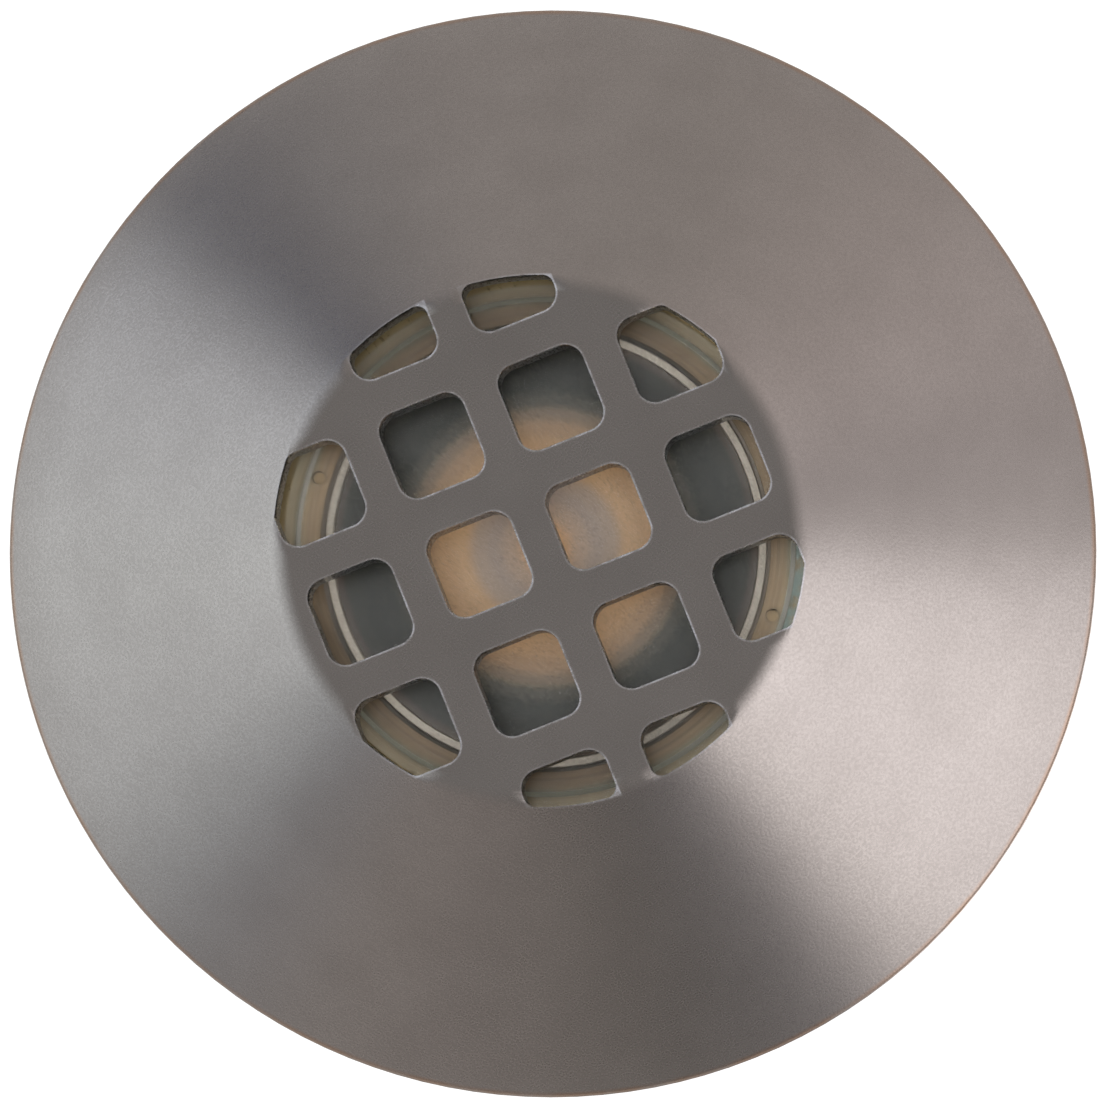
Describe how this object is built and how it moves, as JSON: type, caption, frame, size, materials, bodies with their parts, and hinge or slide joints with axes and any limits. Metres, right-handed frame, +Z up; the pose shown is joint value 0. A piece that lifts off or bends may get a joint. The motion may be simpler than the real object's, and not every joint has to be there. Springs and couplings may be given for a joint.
{
  "type": "louvered surface light",
  "caption": "Low conical metal surface light with a grid louver cut in its flat top, glass and a lens under it, and a screw-down base.",
  "frame": {"origin": "centre of the underside, on the surface that the light stands on", "axes": "+Z up out of the louver, +X to the right of the reference view"},
  "size_m": [0.115, 0.115, 0.03],
  "materials": {
    "gunmetal_brass": "satin, bead blasted",
    "cast_brass": "as cast",
    "turned_brass": "turned",
    "nickel_brass": "satin",
    "steel": "brushed",
    "clear_glass": "polished",
    "lens_plastic": "finely grained",
    "pale_plastic": "satin",
    "black_rubber": "matt",
    "pale_silicone": "matt",
    "thermal_silicone": "matt",
    "phosphor": "matt",
    "board_white": "white solder mask",
    "board_green": "green solder mask",
    "green_plastic": "matt",
    "ferrite": "matt",
    "can_metal": "satin",
    "black_plastic": "matt",
    "lead_insulation": "satin"
  },
  "bodies": {
    "base_unit": {"base": "cast_brass", "foam_gasket": "black_rubber", "cover_gasket": "black_rubber", "lens_holder": "pale_plastic", "beam_lens": "lens_plastic", "led_phosphor": "phosphor", "led_emitter": "board_white", "led_board": "board_white", "thermal_pad": "thermal_silicone", "led_board_screws": "steel", "led_leads": "lead_insulation", "lead_grommet": "black_rubber", "driver_board": "board_green", "driver_board_screws": "steel", "terminal_block": "green_plastic", "terminal_screws": "steel", "inductor": "ferrite", "capacitors": "can_metal", "rectifier": "black_plastic", "gland_body": "nickel_brass", "gland_washer": "black_rubber", "gland_seal": "black_rubber"},
    "cover_unit": {"cover": "gunmetal_brass", "glass_gasket": "pale_silicone", "glass_lens": "clear_glass", "glass_ring": "turned_brass"},
    "lock_screw_1": {"lock_screw_1": "steel"},
    "lock_screw_2": {"lock_screw_2": "steel"},
    "lock_screw_3": {"lock_screw_3": "steel"},
    "lamp_ring": {"lamp_ring": "turned_brass"},
    "gland_nut": {"gland_nut": "nickel_brass"}
  },
  "joints": [
    {"name": "cover_lift", "type": "slide", "parent": "base_unit", "child": "cover_unit", "axis": [0, 0, 1], "range_m": [0, 0.03]},
    {"name": "lock_screw_1_turn", "type": "hinge", "parent": "cover_unit", "child": "lock_screw_1", "pos_m": [0, 0.055, 0.0029], "axis": [0, 1, 0], "range_deg": [0, 720]},
    {"name": "lock_screw_2_turn", "type": "hinge", "parent": "cover_unit", "child": "lock_screw_2", "pos_m": [-0.04763, -0.0275, 0.0029], "axis": [-0.866, -0.5, 0], "range_deg": [0, 720]},
    {"name": "lock_screw_3_turn", "type": "hinge", "parent": "cover_unit", "child": "lock_screw_3", "pos_m": [0.04763, -0.0275, 0.0029], "axis": [0.866, -0.5, 0], "range_deg": [0, 720]},
    {"name": "lamp_ring_turn", "type": "hinge", "parent": "base_unit", "child": "lamp_ring", "pos_m": [0, 0, 0.016], "axis": [0, 0, 1], "range_deg": [0, 1080]},
    {"name": "gland_nut_turn", "type": "hinge", "parent": "base_unit", "child": "gland_nut", "pos_m": [0, 0.0385, 0.003], "axis": [0, 0, -1], "range_deg": [0, 1440]}
  ]
}
